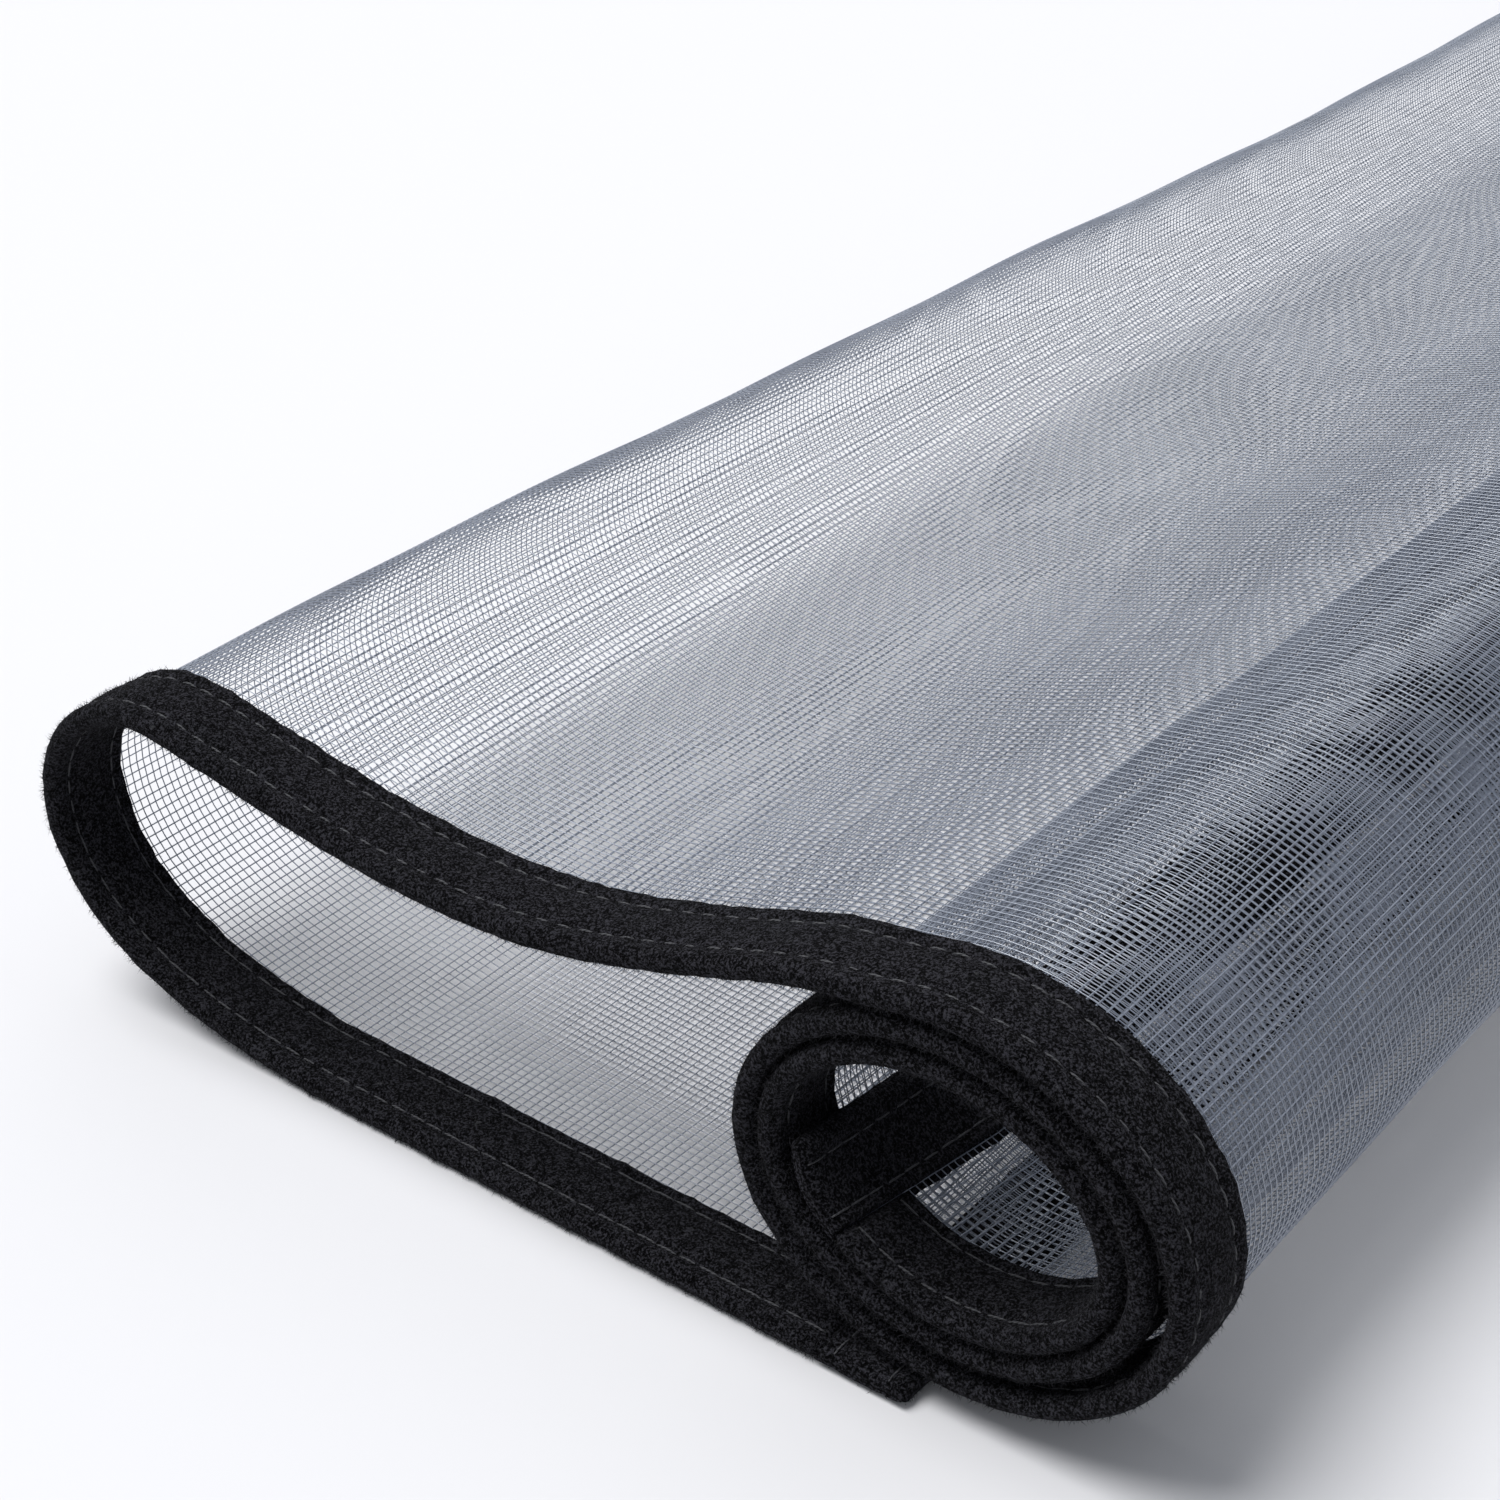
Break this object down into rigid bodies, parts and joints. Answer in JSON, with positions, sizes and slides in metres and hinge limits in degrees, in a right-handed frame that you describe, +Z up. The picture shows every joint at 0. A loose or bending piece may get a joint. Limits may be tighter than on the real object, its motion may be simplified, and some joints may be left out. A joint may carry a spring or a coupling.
{
  "type": "hook-and-loop insect mesh panel",
  "caption": "Rectangular insect-mesh panel bound in folded loop tape, doubled over and loosely rolled up, lying on a surface.",
  "frame": {"origin": "centre of the bounding box's base, on the surface that the rolled panel lies on", "axes": "+Z up; +Y along the roll's axis, away from the front edge; +X from the open loop towards the roll"},
  "size_m": [0.2088, 1.0026, 0.0665],
  "materials": {
    "insect_mesh": "PVC-coated glass-fibre yarn, open weave, low sheen",
    "loop_tape": "black fleecy loop pile, matt",
    "sewing_thread": "spun polyester thread, dark grey"
  },
  "bodies": {
    "root": {"mesh_panel": "insect_mesh", "front_tape": "loop_tape", "back_tape": "loop_tape", "outer_end_tape": "loop_tape", "inner_end_tape": "loop_tape", "front_fold_row_needle_thread": "sewing_thread", "back_fold_row_needle_thread": "sewing_thread", "outer_end_fold_row_needle_thread": "sewing_thread", "inner_end_fold_row_needle_thread": "sewing_thread", "front_fold_row_bobbin_thread": "sewing_thread", "back_fold_row_bobbin_thread": "sewing_thread", "outer_end_fold_row_bobbin_thread": "sewing_thread", "inner_end_fold_row_bobbin_thread": "sewing_thread", "front_mesh_row_needle_thread": "sewing_thread", "back_mesh_row_needle_thread": "sewing_thread", "outer_end_mesh_row_needle_thread": "sewing_thread", "inner_end_mesh_row_needle_thread": "sewing_thread", "front_mesh_row_bobbin_thread": "sewing_thread", "back_mesh_row_bobbin_thread": "sewing_thread", "outer_end_mesh_row_bobbin_thread": "sewing_thread", "inner_end_mesh_row_bobbin_thread": "sewing_thread"}
  },
  "joints": []
}
